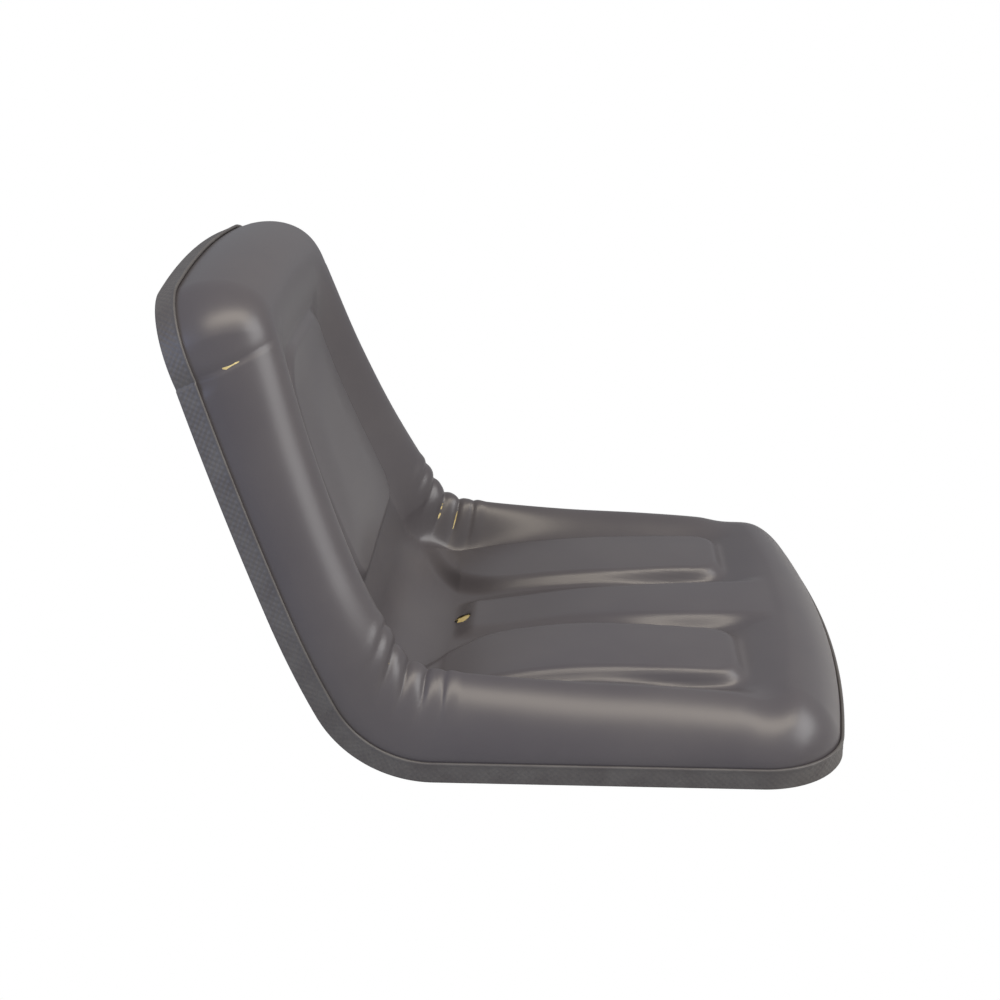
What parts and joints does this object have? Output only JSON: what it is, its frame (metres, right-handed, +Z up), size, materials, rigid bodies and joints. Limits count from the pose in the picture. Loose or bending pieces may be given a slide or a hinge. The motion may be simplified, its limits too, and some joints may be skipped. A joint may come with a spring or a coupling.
{
  "type": "bucket seat",
  "caption": "One-piece bucket seat for a garden machine: moulded cushion with side bolsters under a formed vinyl cover, on a bent steel shell with an embossed edge strip.",
  "frame": {"origin": "centre of the four-bolt mounting pattern, on the flat underside", "axes": "+X towards the seat's front edge, +Y to the seat's left side, +Z up, square to the mounting face"},
  "size_m": [0.5574, 0.48, 0.3739],
  "materials": {
    "painted_steel": "satin black paint",
    "foam": "open-cell moulded foam",
    "vinyl": "smooth semi-gloss dark grey vinyl",
    "trim_rubber": "embossed dull vinyl strip",
    "plate_steel": "black paint",
    "zinc_steel": "zinc plated",
    "drain_plastic": "matt"
  },
  "bodies": {
    "root": {"seat_pan": "painted_steel", "foam_cushion": "foam", "vinyl_cover": "vinyl", "edge_trim": "trim_rubber", "mount_plate_left": "plate_steel", "mount_plate_right": "plate_steel", "weld_nuts": "zinc_steel", "drain_tube": "drain_plastic"}
  },
  "joints": []
}
